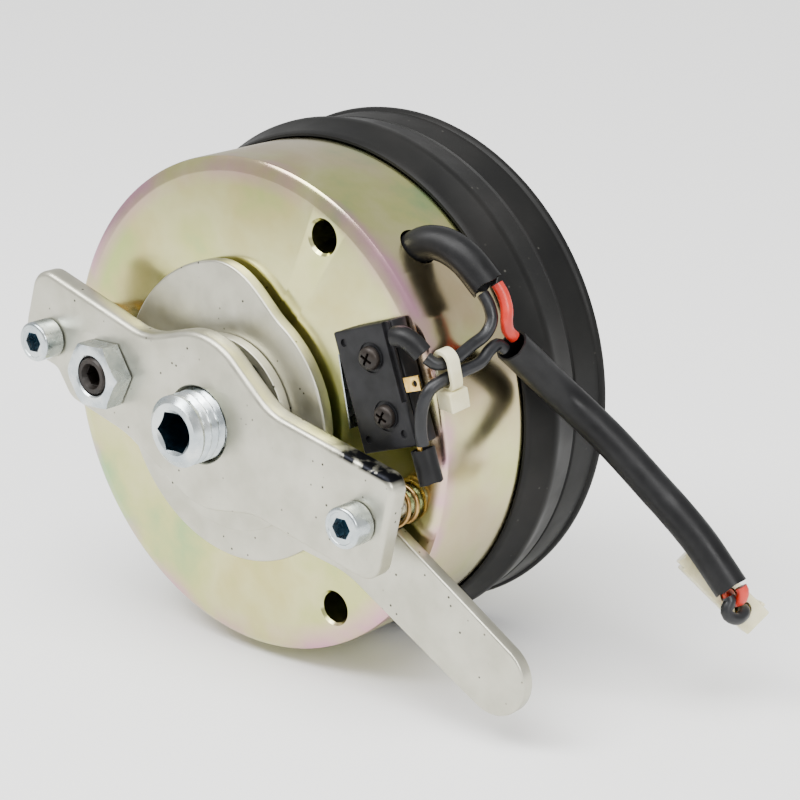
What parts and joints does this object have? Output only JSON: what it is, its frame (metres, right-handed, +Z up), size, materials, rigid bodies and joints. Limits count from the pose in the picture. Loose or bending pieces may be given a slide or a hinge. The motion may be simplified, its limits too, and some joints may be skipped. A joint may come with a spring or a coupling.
{
  "type": "electromagnetic brake clutch",
  "caption": "Round spring-applied electromagnetic brake with hand release lever, yoke, adjusting screw, microswitch and connector lead.",
  "frame": {"origin": "on the shaft axis at the flange plate's mounting face", "axes": "+Y out of the mounting face along the shaft, towards the motor; +Z up, so the hand lever points to the right and down; seen from behind, +X is right"},
  "size_m": [0.1557, 0.0715, 0.1116],
  "materials": {
    "yellow_zinc": "yellow passivated zinc on turned steel, glossy with faint pink and green",
    "white_zinc": "white zinc on blasted steel, satin, slightly pitted",
    "bright_steel": "bright bluish zinc on machined steel",
    "black_steel": "black oxide, dull",
    "spring_steel": "yellow passivated spring wire",
    "rubber": "matt black moulded rubber",
    "shrink_sleeve": "semi-matt black heat-shrink tube",
    "switch_plastic": "black moulded phenolic, fine matt",
    "brass": "bright stamped brass",
    "red_wire": "red PVC insulation, satin",
    "black_wire": "black PVC insulation, satin",
    "nylon": "natural milky nylon",
    "friction": "moulded friction lining, dull brown",
    "copper": "enamelled copper winding under varnish"
  },
  "bodies": {
    "magnet": {"magnet_body": "yellow_zinc", "coil_former": "switch_plastic", "coil_winding": "copper", "torque_spring": "spring_steel", "spring_plate": "bright_steel", "torque_adjuster": "bright_steel", "thrust_washer": "bright_steel", "sleeve_bolt_1": "bright_steel", "sleeve_bolt_2": "bright_steel", "sleeve_bolt_3": "bright_steel", "flange_plate": "yellow_zinc", "cover_ring": "rubber", "release_spring_left": "spring_steel", "release_spring_right": "spring_steel", "switch_base": "switch_plastic", "switch_cover": "switch_plastic", "switch_screw_upper": "black_steel", "switch_screw_lower": "black_steel", "switch_terminal_upper": "brass", "switch_terminal_middle": "brass", "switch_terminal_lower": "brass", "terminal_sleeve_upper": "shrink_sleeve", "terminal_sleeve_lower": "shrink_sleeve", "exit_sleeve": "shrink_sleeve", "coil_wire_red": "red_wire", "coil_wire_black": "black_wire", "return_wire_black": "black_wire", "wire_tie": "nylon", "lead_tube": "shrink_sleeve", "tail_wire_red": "red_wire", "tail_wire_black": "black_wire", "connector_housing": "nylon", "connector_terminal_red": "brass", "connector_terminal_black": "brass"},
    "lever": {"release_lever": "white_zinc", "ramp_disc": "white_zinc"},
    "yoke": {"yoke_plate": "white_zinc", "release_screw_left": "bright_steel", "release_screw_right": "bright_steel", "gap_screw": "black_steel", "lock_nut": "bright_steel", "ball_1": "bright_steel", "ball_2": "bright_steel", "ball_3": "bright_steel", "armature_plate": "yellow_zinc"},
    "hub": {"hub": "bright_steel"},
    "rotor": {"rotor_disc": "white_zinc", "lining_rear": "friction", "lining_front": "friction"},
    "strip": {"switch_strip": "bright_steel"},
    "button": {"switch_button": "switch_plastic"}
  },
  "joints": [
    {"name": "lever_turn", "type": "hinge", "parent": "magnet", "child": "lever", "pos_m": [0, -0.0528, 0], "axis": [0, 1, 0], "range_deg": [0, 70]},
    {"name": "yoke_slide", "type": "slide", "parent": "magnet", "child": "yoke", "axis": [0, -1, 0], "range_m": [0, 0.0005], "deforming": ["torque_spring", "release_spring_left", "release_spring_right"]},
    {"name": "rotor_spin", "type": "hinge", "parent": "magnet", "child": "hub", "pos_m": [0, -0.013, 0], "axis": [0, 1, 0], "continuous": true},
    {"name": "rotor_float", "type": "slide", "parent": "hub", "child": "rotor", "axis": [0, -1, 0], "range_m": [0, 0.00025]},
    {"name": "strip_flex", "type": "hinge", "parent": "magnet", "child": "strip", "pos_m": [0.0311, -0.0538, 0.0179], "axis": [0, -1, 0], "range_deg": [0, 6]},
    {"name": "button_press", "type": "slide", "parent": "magnet", "child": "button", "axis": [0.9537, 0, 0.3007], "range_m": [0, 0.0005]}
  ],
  "couplings": [
    {"joint": "yoke_slide", "follows": "lever_turn", "m_per_rad": 0.000409},
    {"joint": "rotor_float", "follows": "lever_turn", "m_per_rad": 0.000204},
    {"joint": "strip_flex", "follows": "lever_turn", "ratio": 0.0855},
    {"joint": "button_press", "follows": "lever_turn", "m_per_rad": 0.000368}
  ]
}
